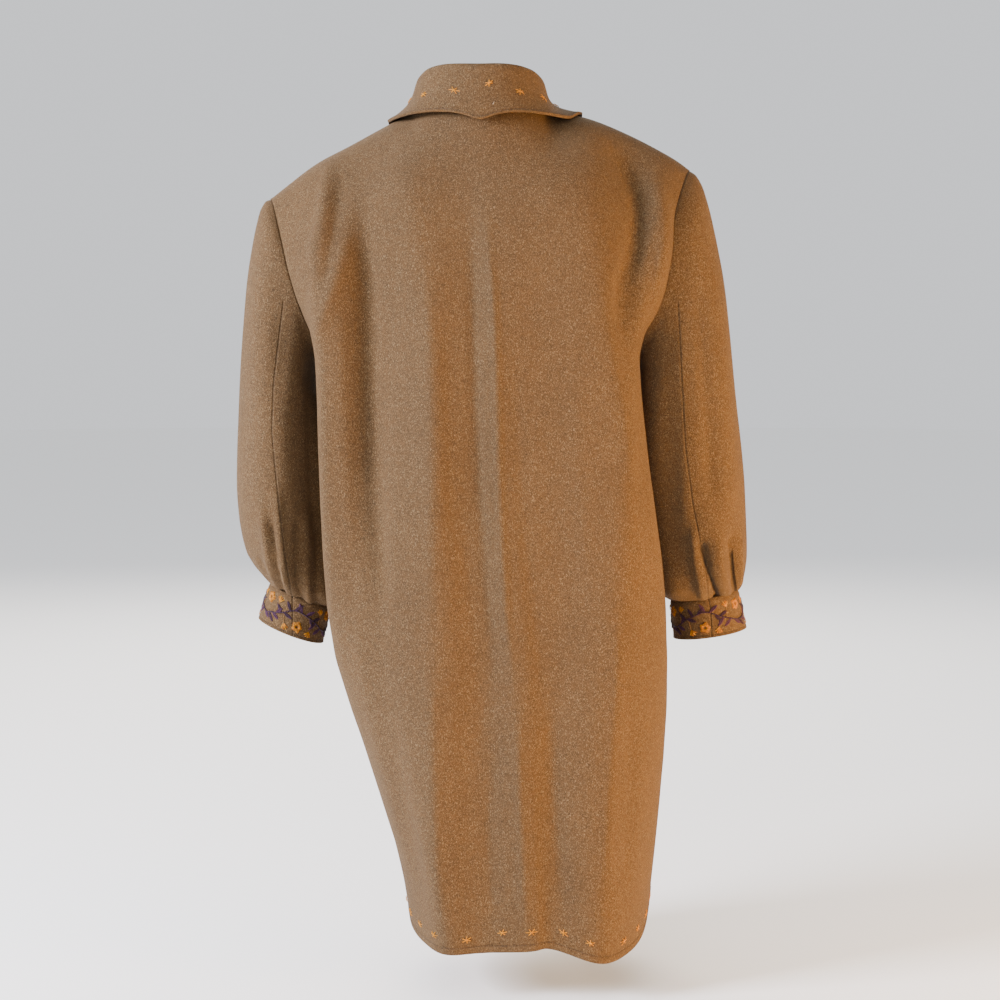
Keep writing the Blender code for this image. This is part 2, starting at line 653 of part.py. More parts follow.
def build():
    """Make every piece of the coat."""
    for old in list(bpy.data.objects):
        bpy.data.objects.remove(old, do_unlink=True)
    collection = bpy.data.collections.new("long_coat")
    bpy.context.scene.collection.children.link(collection)

    grids, normals, arm_row = body_walls()
    sleeves = {}
    for side in ("left", "right"):
        ring = armhole(side, grids, arm_row)
        grid = sleeve_panel(side, ring)
        sleeve_normals = surface_normals(grid, from_ring_centres, around=True)
        column = 0 if side == "left" else -1
        body_normals = np.concatenate((normals["back"][:arm_row + 1, column],
                                       normals[f"front_{side}"][:arm_row + 1, 0][-2:0:-1]))
        agree = np.sum(body_normals * sleeve_normals[0], axis=-1)
        weight = np.array([smooth_step((a + 0.55) / 0.5) for a in agree])[:, None]
        mean = unit(body_normals + sleeve_normals[0])
        body_mix = unit(body_normals * (1 - weight) + mean * weight)
        sleeve_normals[0] = unit(sleeve_normals[0] * (1 - weight) + mean * weight)
        normals["back"][:arm_row + 1, column] = body_mix[:arm_row + 1]
        front_part = np.concatenate((body_mix[:1], body_mix[arm_row:][::-1]))
        normals[f"front_{side}"][:arm_row + 1, 0] = front_part
        sleeves[side] = (grid, sleeve_normals)

    walls = {}
    for name, grid in grids.items():
        edges = [("start", SEAM_PULL), ("top", SEAM_PULL)]
        if name == "back":
            edges.append(("end", SEAM_PULL))
        walls[name] = pull_edges(grid, grid - normals[name] * WALL, normals[name], edges)
        wall_object(name, *walls[name], collection)

    for side, (grid, sleeve_normals) in sleeves.items():
        cuff = cuff_panel(side, grid[-1])
        cuff_normals = surface_normals(cuff, from_ring_centres, around=True)
        mean = unit(sleeve_normals[-1] + cuff_normals[0])
        sleeve_normals[-1], cuff_normals[0] = mean, mean.copy()
        sleeve = pull_edges(grid, grid - sleeve_normals * WALL, sleeve_normals,
                            [("top", SEAM_PULL), ("bottom", SEAM_PULL)], around=True)
        wall_object(f"sleeve_{side}", *sleeve, collection, around=True)
        band = pull_edges(cuff, cuff - cuff_normals * WALL, cuff_normals,
                          [("top", SEAM_PULL)], around=True)
        wall_object(f"cuff_{side}", *band, collection, around=True)

    outer, inner = collar_walls(grids, walls)
    wall_object("collar", outer, inner, collection)


build()
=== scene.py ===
# %% [markdown]
# # A long felted wool coat
# The coat is seen from behind, filled out as if worn, with nobody in it. Its pieces are a back,
# two plain fronts, two full sleeves, two cuffs and a turned-down collar. The imported model has
# each piece as a plain wall of cloth. Here every piece becomes cloth: its creases are laid in,
# it gets felted wool for a surface, and the sewing and the embroidery are added in thread.

# %% Load the frame
import math

import bmesh
import bpy
import numpy as np
from mathutils import Matrix, Vector, noise


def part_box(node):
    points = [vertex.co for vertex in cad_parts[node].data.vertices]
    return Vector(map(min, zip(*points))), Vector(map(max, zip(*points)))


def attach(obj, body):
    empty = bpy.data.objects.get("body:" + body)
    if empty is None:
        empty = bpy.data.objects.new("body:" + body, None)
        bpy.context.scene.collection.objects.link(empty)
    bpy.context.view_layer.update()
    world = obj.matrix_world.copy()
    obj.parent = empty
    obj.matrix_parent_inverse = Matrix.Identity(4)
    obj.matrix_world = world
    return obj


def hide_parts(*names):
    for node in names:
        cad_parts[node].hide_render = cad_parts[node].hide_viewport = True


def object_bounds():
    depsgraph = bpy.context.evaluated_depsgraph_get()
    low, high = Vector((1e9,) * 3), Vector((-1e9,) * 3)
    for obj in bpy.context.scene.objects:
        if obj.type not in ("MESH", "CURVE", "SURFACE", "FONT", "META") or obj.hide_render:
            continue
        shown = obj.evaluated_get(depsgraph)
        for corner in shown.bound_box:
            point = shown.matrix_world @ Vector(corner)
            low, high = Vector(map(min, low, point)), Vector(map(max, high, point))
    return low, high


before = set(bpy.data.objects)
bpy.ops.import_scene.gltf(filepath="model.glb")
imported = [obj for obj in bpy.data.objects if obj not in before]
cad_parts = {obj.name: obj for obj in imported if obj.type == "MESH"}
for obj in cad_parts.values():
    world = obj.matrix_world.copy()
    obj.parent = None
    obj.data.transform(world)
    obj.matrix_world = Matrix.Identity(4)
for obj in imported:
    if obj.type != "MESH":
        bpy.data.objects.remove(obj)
cad_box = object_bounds()
MM = 0.001
BODY = ("back", "front_left", "front_right")
SLEEVES = ("sleeve_left", "sleeve_right")
CUFFS = ("cuff_left", "cuff_right")
print("nodes:", ", ".join(sorted(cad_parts)))

# %% [markdown]
# ## The camera
# A long lens stands 2.5 m behind the coat, level with its upper half. The picture takes in the
# hem by a downward shift of the lens, as a view camera does, so that upright lines stay upright.
# The same numbers tell where a place in the picture lies on the coat.

# %% Camera
CAMERA = Vector((-0.0228, 2.5, -0.254))
LENS_MM = 75.0
SENSOR_MM = 36.0
PICTURE = 1000            # width and height of the picture in pixels
MIDDLE = PICTURE / 2
HORIZON_ROW = 330         # row of the picture that is level with the lens
PIXEL_MM = SENSOR_MM / PICTURE


def in_scene(name, data):
    """A new object in the scene."""
    made = bpy.data.objects.new(name, data)
    bpy.context.scene.collection.objects.link(made)
    return made


lens = bpy.data.cameras.new("from_behind")
lens.lens = LENS_MM
lens.sensor_width = SENSOR_MM
lens.shift_y = (HORIZON_ROW - MIDDLE) / PICTURE
viewer = in_scene("from_behind", lens)
viewer.location = CAMERA
viewer.rotation_euler = (math.radians(90), 0.0, math.radians(180))
bpy.context.scene.camera = viewer


def seen_at(column, row, depth):
    """Side and height, in metres, of a place in the picture at a depth along Y."""
    reach = (CAMERA.y - depth) * PIXEL_MM / LENS_MM
    return CAMERA.x - (column - MIDDLE) * reach, CAMERA.z - (row - HORIZON_ROW) * reach


print("one picture step at the coat:", round((CAMERA.y - 0.1) * PIXEL_MM / LENS_MM / MM, 2), "mm")

# %% [markdown]
# ## Light and floor
# Wool shows its nap and its folds best in soft light from both sides. A large cool light stands
# to the left of the camera and a warm one to the right, low and far round, so that every fold
# has a cool side and a warm side. The floor is a plain pale sheet a little below the hem.

# %% Light and floor
FLOOR_GAP = 45 * MM
FLOOR_RADIUS = 14.0
LAMPS = (
    # name          place                 aim            size watts colour
    ("cool_side",  (2.4, 1.15, 0.5),     (0, 0, -0.45), 0.9, 255, "#F2F2FF"),
    ("warm_side",  (-1.45, 0.72, -0.93), (0, 0, -0.6),  0.6, 120, "#FFBE58"),
    ("front_fill", (0.5, 3.4, 1.2),      (0, 0, -0.5),  1.6, 26,  "#FFF6EA"),
    ("far_side",   (0.3, -2.8, 1.4),     (0, 0, -0.5),  2.2, 120, "#FFF6EC"),
)


def linear(colour):
    """Linear red, green, blue and 1 from an sRGB hex value."""
    values = [int(colour[i:i + 2], 16) / 255 for i in (1, 3, 5)]
    return [v / 12.92 if v <= 0.04045 else ((v + 0.055) / 1.055) ** 2.4 for v in values] + [1.0]


def dial(node, values):
    """Set inputs of a node."""
    for key, value in values.items():
        node.inputs[key].default_value = value


def soft_light(name, place, aim, size, watts, colour):
    """A square soft box at a place, turned to its aim."""
    lamp = bpy.data.lights.new(name, "AREA")
    lamp.shape = "SQUARE"
    lamp.size = size
    lamp.energy = watts
    lamp.color = linear(colour)[:3]
    stand = in_scene(name, lamp)
    stand.location = place
    stand.rotation_euler = (Vector(aim) - Vector(place)).to_track_quat("-Z", "Y").to_euler()


for lamp in LAMPS:
    soft_light(*lamp)

studio = bpy.data.worlds.new("pale_studio")
studio.use_nodes = True
dial(studio.node_tree.nodes["Background"], {"Color": linear("#F6F8FC"), "Strength": 1.0})
bpy.context.scene.world = studio

bpy.ops.object.select_all(action="DESELECT")
bpy.ops.mesh.primitive_circle_add(vertices=64, radius=FLOOR_RADIUS, fill_type="NGON")
floor = bpy.context.object
floor.name = "studio_floor"
floor_height = cad_box[0][2] - FLOOR_GAP
floor.data.transform(Matrix.Translation((0, 0, floor_height)))
pale_floor = bpy.data.materials.new("pale_floor_paint")
pale_floor.use_nodes = True
dial(pale_floor.node_tree.nodes["Principled BSDF"],
     {"Base Color": linear("#FBFBFA"), "Roughness": 0.9})
floor.data.materials.append(pale_floor)
print("floor at", round(floor_height, 3), "m")

# %% [markdown]
# ## How a node is added
# Every finish here is a handful of nodes. One small function adds a node, sets it up, links its
# inputs and gives back one output, so that each material reads as a list of its parts.

# %% Nodes
def add(tree, kind, inputs=None, out=0, **settings):
    """Add one shader node; an input is a value or another node's output."""
    made = tree.nodes.new(f"ShaderNode{kind}")
    for key, value in settings.items():
        setattr(made, key, value)
    for key, value in (inputs or {}).items():
        if isinstance(value, bpy.types.NodeSocket):
            tree.links.new(value, made.inputs[key])
        else:
            made.inputs[key].default_value = value
    return made.outputs[out]


def stops(ramp, *colours):
    """Set the places and sRGB colours of the colour ramp with this output."""
    band = ramp.node.color_ramp
    while len(band.elements) < len(colours):
        band.elements.new(0.5)
    for element, (place, colour) in zip(band.elements, colours):
        element.position = place
        element.color = linear(colour)
    return ramp


print("node helpers ready")

# %% [markdown]
# ## Felted wool
# The cloth is woollen coating: it is woven, then washed and brushed until the weave sinks under
# a short nap. Hairs of several browns were blended before spinning, so close up it is flecked
# with pale and dark hairs about 1 mm long, and farther off the browns cloud a little. It is
# quite matt, with a pale bloom where the nap stands against the light, which is its sheen.
# Three measures that the pieces carry draw the sewing: how far a point is from a seam down the
# piece, from a pressed tuck, and from a stitched edge. Each line is a groove in the bump, and the
# colour darkens along it as painted shade, for the shade that falls in the groove.

# %% Felted wool
FLECK_MM = 1.35           # length of one fleck of hair before it is drawn out
DRAWN_OUT = (1.35, 1.35, 0.85)
CLOUD_MM = 7.0            # size of the soft clouds of colour
TWILL_MM = 2.6            # spacing of the weave's slant lines, drawn coarse enough to show
TWILL_SLANT = 52          # degrees
DEEPEST = 2.6             # strength of the strongest line, a pressed tuck
NAP_MM = 0.55             # how high the nap stands


def drawn_line(tree, measure, full_mm, none_mm, strength):
    """How strongly a stored measure draws its line: full on it, fading to none beside it."""
    stored = add(tree, "Attribute", out="Fac", attribute_name=measure)
    beside = add(tree, "Math", {0: stored}, operation="ABSOLUTE")
    return add(tree, "MapRange", {"Value": beside, "From Min": full_mm * MM,
                                  "From Max": none_mm * MM, "To Min": strength, "To Max": 0.0},
               interpolation_type="SMOOTHSTEP")


def felted_wool(name, base="#47341D", pale="#7E6749", dark="#24180A"):
    """Brown blended wool with flecks, clouds, nap, and stitched lines darkened as painted shade."""
    made = bpy.data.materials.new(name)
    made.use_nodes = True
    tree = made.node_tree
    shader = tree.nodes["Principled BSDF"]
    place = add(tree, "TexCoord", out="Object")
    drawn_out = add(tree, "Mapping", {"Vector": place, "Scale": DRAWN_OUT})
    fleck = add(tree, "TexNoise", {"Vector": drawn_out, "Scale": 1 / (FLECK_MM * MM),
                                   "Detail": 3.0, "Roughness": 0.72, "Distortion": 0.6})
    hairs = add(tree, "TexNoise", {"Vector": drawn_out, "Scale": 1.9 / (FLECK_MM * MM),
                                   "Detail": 2.0, "Roughness": 0.6, "Distortion": 1.4})
    cloud = add(tree, "TexNoise", {"Vector": place, "Scale": 1 / (CLOUD_MM * MM),
                                   "Detail": 4.0, "Roughness": 0.6})
    broad = add(tree, "TexNoise", {"Vector": place, "Scale": 9.0, "Detail": 2.0})

    browns = stops(add(tree, "ValToRGB", {"Fac": fleck}),
                   (0.36, dark), (0.47, base), (0.54, base), (0.66, pale))
    warmth = add(tree, "MapRange",
                 {"Value": cloud, "From Min": 0.35, "From Max": 0.7, "To Max": 0.35})
    warm = add(tree, "Mix", {"Factor": warmth, "A": browns, "B": linear("#523617")},
               out="Result", data_type="RGBA")
    specks = add(tree, "MapRange",
                 {"Value": hairs, "From Min": 0.57, "From Max": 0.70, "To Max": 0.27})
    flecked = add(tree, "Mix", {"Factor": specks, "A": warm, "B": linear("#957E5F")},
                  out="Result", data_type="RGBA")
    worn = add(tree, "MapRange",
               {"Value": broad, "From Min": 0.3, "From Max": 0.7, "To Min": 0.93, "To Max": 1.06})
    toned = add(tree, "VectorMath", {0: flecked, "Scale": worn}, operation="SCALE")

    in_seam = drawn_line(tree, "seam", 0.2, 1.6, 1.0)
    in_edge = drawn_line(tree, "edge", 0.2, 1.5, 0.6)
    in_tuck = drawn_line(tree, "tuck", 0.3, 3.2, DEEPEST)
    pressed = add(tree, "Attribute", out="Fac", attribute_name="pressed")
    shown_tuck = add(tree, "Math", {0: in_tuck, 1: pressed}, operation="MULTIPLY")
    sewn = add(tree, "Math", {0: in_seam, 1: in_edge}, operation="MAXIMUM")
    line = add(tree, "Math", {0: sewn, 1: shown_tuck}, operation="MAXIMUM")
    # Painted shade: the colour darkens along seams, stitched edges and tucks, down to 0.28 of
    # itself at a tuck, for the shade in their grooves.
    painted_groove_shade = add(tree, "MapRange",
                {"Value": line, "From Max": DEEPEST, "To Min": 1.0, "To Max": 0.28})
    colour_with_painted_shade = add(tree, "VectorMath", {0: toned, "Scale": painted_groove_shade}, operation="SCALE")
    tree.links.new(colour_with_painted_shade, shader.inputs["Base Color"])

    slant = add(tree, "Mapping",
                {"Vector": place, "Rotation": (0.0, math.radians(TWILL_SLANT), 0.0)})
    twill = add(tree, "TexWave", {"Vector": slant, "Scale": 0.314 / (TWILL_MM * MM),
                                  "Distortion": 5.0, "Detail": 2.0, "Detail Scale": 2.5},
                out="Fac", bands_direction="X")
    nap = add(tree, "Math", {0: fleck, 1: hairs}, operation="ADD")
    woven = add(tree, "Math", {0: twill, 1: 0.22, 2: nap}, operation="MULTIPLY_ADD")
    stitched = add(tree, "Math", {0: line, 1: -2.6, 2: woven}, operation="MULTIPLY_ADD")
    bump = add(tree, "Bump", {"Height": stitched, "Strength": 0.75, "Distance": NAP_MM * MM})
    tree.links.new(bump, shader.inputs["Normal"])
    dial(shader, {"Roughness": 0.95, "Specular IOR Level": 0.25, "Sheen Weight": 0.08,
                  "Sheen Roughness": 0.55, "Sheen Tint": linear("#C9A67C")})
    return made


wool = felted_wool("felted_wool")
print("wool nodes:", len(wool.node_tree.nodes))

# %% [markdown]
# ## From a wall to a sheet
# A sewn piece is one layer of cloth, so each piece starts as the outer face of its wall. The
# wall's mesh is copied and its doubled points are merged. The rim is what joins its two faces.
# Its edges are as short as the wall is thick and stand square to the cloth, so leaving out the
# faces with such an edge parts the mesh into skins. The skin that faces outward is kept. It is a
# net of cells, each cut by a slanting edge; dissolving those leaves quads, which subdivide into an
# even sheet.

# %% Outer skin of a wall
WALL_MM = 2.4
RIM_LENGTH = 1.15         # a rim's edge is at most this many walls long
RIM_SQUARE = 0.35         # and at least this square to the faces beside it
LEVEL = Vector((1, 1, 0))
BODY_MIDDLE = Vector()


def pick(piece):
    """Select one object only and make it active."""
    bpy.ops.object.select_all(action="DESELECT")
    piece.select_set(True)
    bpy.context.view_layer.objects.active = piece


def lowest(edges):
    """The edge whose middle is lowest."""
    return min(edges, key=lambda e: e.verts[0].co.z + e.verts[1].co.z)


def skins_of(shape):
    """Groups of joined faces, leaving out the rim."""
    short = {e for e in shape.edges if e.calc_length() < RIM_LENGTH * WALL_MM * MM}
    rim = set()
    for side in short:
        way = (side.verts[1].co - side.verts[0].co).normalized()
        plain = [f for v in side.verts for f in v.link_faces if not short.intersection(f.edges)]
        square = [abs(way.dot(f.normal)) for f in plain]
        if not square or sum(square) / len(square) > RIM_SQUARE:
            rim.update(side.link_faces)
    seen, groups = set(rim), []
    for start in shape.faces:
        if start in seen:
            continue
        seen.add(start)
        group, waiting = [], [start]
        while waiting:
            face = waiting.pop()
            group.append(face)
            for other in (f for side in face.edges for f in side.link_faces if f not in seen):
                seen.add(other)
                waiting.append(other)
        groups.append(group)
    return groups


def cell_edges(shape):
    """Name every edge of a net of cut cells: across, down or slant.

    Two triangles with a shared edge are turned copies of each other, so the names spread from
    one bottom triangle, whose slant is its longest edge.
    """
    start = lowest(e for e in shape.edges if e.is_boundary)
    first = start.link_faces[0]
    side, slant = sorted((e for e in first.edges if e != start), key=lambda e: e.calc_length())
    kind = {start: "across", side: "down", slant: "slant"}
    done, waiting = {first}, [first]
    while waiting:
        face = waiting.pop()
        for shared in face.edges:
            for other in (f for f in shared.link_faces if f not in done):
                a, b = shared.verts
                mine = next(v for v in face.verts if v not in (a, b))
                theirs = next(v for v in other.verts if v not in (a, b))
                kind[shape.edges.get((b, theirs))] = kind[shape.edges.get((a, mine))]
                kind[shape.edges.get((a, theirs))] = kind[shape.edges.get((b, mine))]
                done.add(other)
                waiting.append(other)
    return kind


def outer_sheet(node, name, middle):
    """The outer skin of a CAD wall, as a new piece made of quads."""
    piece = in_scene(name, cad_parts[node].data.copy())
    shape = bmesh.new()
    shape.from_mesh(piece.data)
    bmesh.ops.remove_doubles(shape, verts=shape.verts, dist=0.01 * MM)
    best, best_out = None, -1.0
    for group in skins_of(shape):
        out = sum(f.calc_area() * f.normal.dot((f.calc_center_median() - middle) * LEVEL)
                  for f in group)
        if out > best_out:
            best, best_out = set(group), out
    bmesh.ops.delete(shape, geom=[f for f in shape.faces if f not in best], context="FACES")
    slants = [edge for edge, kind in cell_edges(shape).items() if kind == "slant"]
    bmesh.ops.dissolve_edges(shape, edges=slants, use_verts=False)
    shape.to_mesh(piece.data)
    shape.free()
    pick(piece)
    bpy.ops.object.mode_set(mode="EDIT")
    bpy.ops.mesh.customdata_custom_splitnormals_clear()
    bpy.ops.object.mode_set(mode="OBJECT")
    piece.data.materials.clear()
    corners = [len(f.vertices) for f in piece.data.polygons]
    print(name, "quads:", corners.count(4), "triangles:", corners.count(3))
    return piece


sheets = {}
for node in (*BODY, "collar"):
    sheets[node] = outer_sheet(node, f"{node}_cloth", BODY_MIDDLE)
for node in (*SLEEVES, *CUFFS):
    low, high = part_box(node)
    sheets[node] = outer_sheet(node, f"{node}_cloth", (low + high) / 2)

# %% [markdown]
# ## An even, fine sheet
# The wall's rows are far apart where the coat hangs plainly, so they are cut shorter before the
# sheet is subdivided. Which edges run down the cloth is found by spreading from the bottom edge:
# across a quad, opposite edges run the same way.

# %% Finer rows
HUNG_BELOW = -0.286       # height in metres under which the body hangs plainly


def ways(shape):
    """For every edge of a sheet of quads, whether it runs down rather than across."""
    start = lowest(e for e in shape.edges if e.is_boundary)
    runs_down = {start: False}
    waiting = [start]
    while waiting:
        side = waiting.pop()
        for face in side.link_faces:
            if len(face.edges) != 4:
                continue
            k = list(face.edges).index(side)
            for step, same in ((1, False), (2, True), (3, False)):
                other = face.edges[(k + step) % 4]
                if other not in runs_down:
                    runs_down[other] = runs_down[side] if same else not runs_down[side]
                    waiting.append(other)
    return runs_down


def finer(piece, cuts, below=0.0, levels=2):
    """Cut the long rows under a height, then subdivide the whole sheet."""
    shape = bmesh.new()
    shape.from_mesh(piece.data)
    longer = [e for e, down in ways(shape).items()
              if down and e.verts[0].co.z + e.verts[1].co.z < 2 * below]
    if cuts:
        bmesh.ops.subdivide_edges(shape, edges=longer, cuts=cuts, smooth=0.0, use_grid_fill=True)
    shape.to_mesh(piece.data)
    shape.free()
    pick(piece)
    smooth = piece.modifiers.new("even", "SUBSURF")
    smooth.levels = levels
    smooth.render_levels = levels
    smooth.boundary_smooth = "PRESERVE_CORNERS"
    bpy.ops.object.modifier_apply(modifier="even")
    print(piece.name, "faces:", len(piece.data.polygons))


for node in BODY:
    finer(sheets[node], 3, HUNG_BELOW)
for node in (*SLEEVES, *CUFFS):
    finer(sheets[node], 1)
finer(sheets["collar"], 0)

# %% [markdown]
# ## Creases laid in
# The wide folds are in the imported model. What is left are the narrow lines: drag lines from the
# armholes, the crisp edge of the middle fold, and the small pleats where the sleeves are gathered
# into the cuffs. Each is a line of places in the picture with a width and a height in
# millimetres. Points of the cloth move along their own normals by a soft bell curve across the
# line, fading at its ends. A slow wobble goes over it all, so no stretch of cloth is quite even.

# %% Creases
BODY_BACK = 0.1           # how far back the cloth of body and sleeves stands, in metres
SLEEVE_BACK = 0.03
FAR = 9.0                 # farther than any place on the coat


def soft(share):
    """A share from 0 to 1 that leaves 0 and reaches 1 gently."""
    return share * share * (3 - 2 * share)


def line_distance(side, height, points):
    """Distance to a line of points, and how far along it the nearest place is, 0 to 1."""
    points = np.array(points, float)
    steps = np.linalg.norm(np.diff(points, axis=0), axis=1)
    before = np.concatenate(([0], np.cumsum(steps)))
    near = np.full(len(side), FAR)
    along = np.zeros(len(side))
    for k, step in enumerate(steps):
        (x, z), (dx, dz) = points[k], points[k + 1] - points[k]
        t = np.clip(((side - x) * dx + (height - z) * dz) / step ** 2, 0, 1)
        gap = np.hypot(side - x - t * dx, height - z - t * dz)
        closer = gap < near
        near = np.where(closer, gap, near)
        along = np.where(closer, (before[k] + t * step) / before[-1], along)
    return near, along


def points_of(piece):
    """Every point of a piece and its normal, as two arrays."""
    count = len(piece.data.vertices)
    places = np.empty(count * 3)
    normals = np.empty(count * 3)
    piece.data.vertices.foreach_get("co", places)
    piece.data.vertices.foreach_get("normal", normals)
    return places.reshape(-1, 3), normals.reshape(-1, 3)


def move_to(piece, places):
    """Give a piece its moved points."""
    piece.data.vertices.foreach_set("co", places.ravel())
    piece.data.update()


def crease(piece, depth=0.0, lines=(), wobble=0.8, grain=11.0):
    """Move the cloth seen from behind along its normals, by the lines given."""
    places, normals = points_of(piece)
    behind = np.clip((normals[:, 1] + 0.25) / 0.35, 0, 1)
    shift = np.zeros(len(places))
    for marks, width, height in lines:
        line = [seen_at(column, row, depth) for column, row in marks]
        near, along = line_distance(places[:, 0], places[:, 2], line)
        ends = soft(np.clip(np.minimum(along, 1 - along) / 0.22, 0, 1))
        shift += height * MM * ends * np.exp(-(near / (width * MM)) ** 2) * behind
    for k, place in enumerate(places):
        shift[k] += wobble * MM * noise.noise(Vector(place) * grain + Vector((3.1, 0.7, 5.2)))
    move_to(piece, places + normals * shift[:, None])
    print(piece.name, "creased by", round(shift.min() / MM, 1), "to",
          round(shift.max() / MM, 1), "mm")


BACK_CREASES = (
    # places in the picture, width mm, height mm
    (((327, 150), (318, 232), (310, 263), (297, 292)), 8, 3.8),
    (((341, 165), (333, 232), (325, 275), (309, 312)), 9, -4.4),
    (((352, 225), (338, 275), (322, 318), (310, 350)), 8, 1.8),
    (((312, 250), (304, 285), (300, 318)), 6, -2.0),
    (((598, 130), (625, 161), (640, 192), (641, 219), (634, 254), (623, 281), (620, 350)),
     11, -6.5),
    (((650, 165), (668, 210), (673, 254), (676, 330)), 9, 3.8),
    (((664, 215), (655, 262), (652, 320), (655, 380)), 8, -2.6),
    (((640, 300), (632, 350), (630, 420), (633, 500)), 10, 2.4),
    (((484, 190), (488, 240), (493, 290), (496, 360), (499, 480), (505, 600), (515, 700)),
     5.0, 3.2),
    (((470, 200), (474, 300), (476, 400), (480, 500), (488, 600), (497, 700)), 7.0, -3.0),
    (((512, 300), (516, 400), (522, 500), (535, 620), (545, 720)), 10, -1.6),
    (((428, 250), (432, 380), (433, 520), (434, 640)), 8, 1.6),
    (((447, 300), (450, 420), (452, 560)), 9, -1.4),
    (((517, 700), (519, 780), (523, 860), (526, 940)), 6, 2.4),
    (((500, 720), (490, 800), (490, 870), (494, 940)), 8, -2.2),
    (((432, 640), (434, 760), (438, 870), (446, 940)), 8, 2.0),
    (((552, 690), (552, 780), (558, 860), (566, 930)), 10, -2.4),
    (((617, 600), (616, 700), (607, 800), (604, 900)), 8, 2.4),
    (((634, 700), (630, 800), (622, 900)), 10, -2.0),
    (((372, 560), (384, 680), (404, 800), (428, 930)), 10, -1.8),
    (((352, 600), (366, 700), (388, 800), (414, 900)), 8, 1.6),
    (((400, 300), (398, 420), (402, 540)), 10, 1.2),
    (((360, 180), (366, 280), (370, 400), (376, 520), (384, 640)), 12, -7.5),
    (((338, 280), (342, 380), (346, 480), (352, 580)), 10, 2.5),
    (((575, 350), (580, 470), (586, 600)), 12, 1.4),
)
SLEEVE_CREASES = {
    "sleeve_left": (
        (((262, 500), (266, 545), (273, 600)), 5.0, 4.4),
        (((270, 510), (275, 560), (281, 612)), 4.0, -5.4),
        (((277, 480), (280, 540), (286, 610)), 5.0, 4.2),
        (((298, 510), (297, 570), (299, 618)), 4.2, -5.2),
        (((306, 500), (305, 565), (307, 620)), 5.0, 4.4),
        (((318, 520), (315, 575), (313, 622)), 4.2, -4.6),
        (((311, 330), (312, 440), (313, 560)), 8, -6.0),
        (((255, 560), (262, 578), (268, 596)), 3.5, -2.8),
        (((292, 350), (284, 420), (284, 500)), 10, 2.0),
        (((262, 240), (258, 330), (256, 430)), 14, 1.6),
        (((300, 380), (302, 450), (300, 520)), 9, -2.2),
    ),
    "sleeve_right": (
        (((700, 535), (708, 570), (724, 612)), 3.8, -8.5),
        (((692, 520), (697, 565), (708, 612)), 5.0, 4.6),
        (((716, 530), (722, 570), (733, 608)), 5.0, 5.2),
        (((731, 530), (736, 565), (741, 604)), 3.8, -7.0),
        (((742, 530), (743, 565), (746, 600)), 4.0, 3.4),
        (((678, 300), (680, 380), (683, 470), (688, 560)), 9, 2.6),
        (((694, 270), (702, 350), (708, 430), (713, 530)), 12, -6.0),
        (((714, 240), (724, 340), (730, 450), (733, 530)), 11, 3.0),
    ),
}
crease(sheets["back"], BODY_BACK, BACK_CREASES)
for node, lines in SLEEVE_CREASES.items():
    crease(sheets[node], SLEEVE_BACK, lines)
for node in ("front_left", "front_right"):
    crease(sheets[node], wobble=1.6, grain=8.0)

# %% [markdown]
# ## How the sleeves hang
# The inner side of each sleeve lies close to the body: the right one's is drawn in towards it,
# and the left one's falls back behind the body's edge. The left sleeve's end and its cuff are
# tipped a little, so the cuff's outer side hangs higher.

# %% Sleeves
def swing_in(piece, hand, inner, inward, behind, top, bottom=-0.60):
    """Move a sleeve's inner side, by millimetres inward and away from the camera."""
    places, _ = points_of(piece)
    level = np.clip(np.minimum(top - places[:, 2], places[:, 2] - bottom) / 0.09, 0, 1)
    near = np.clip((inner - hand * places[:, 0]) / 0.032, 0, 1)
    share = soft(level) * soft(near)
    places[:, 0] -= hand * inward * MM * share
    places[:, 1] -= behind * MM * share
    move_to(piece, places)


def tip(piece, middle, slope, full, none):
    """Slope the cloth below a height; it moves up on the side of the middle towards plus X."""
    places, _ = points_of(piece)
    share = soft(np.clip((none - places[:, 2]) / (none - full), 0, 1))
    places[:, 2] += slope * (places[:, 0] - middle) * share
    move_to(piece, places)


swing_in(sheets["sleeve_right"], hand=-1, inner=0.236, inward=12.0, behind=0.0, top=-0.19)
swing_in(sheets["sleeve_left"], hand=1, inner=0.226, inward=1.0, behind=15.0, top=-0.24)
for node in ("sleeve_left", "cuff_left"):
    tip(sheets[node], middle=0.222, slope=0.15, full=-0.56, none=-0.48)
for node in CUFFS:
    crease(sheets[node], grain=20.0)
crease(sheets["collar"], wobble=0.7, grain=18.0)
print("sleeves hung")

# %% [markdown]
# ## Seams and turned edges
# The sewing follows a piece's edges, so it needs to know how far up from the bottom edge each
# point lies, and which edges are sewn to another piece. Walking up the sheet's own rows gives
# both, also where the cloth bends.

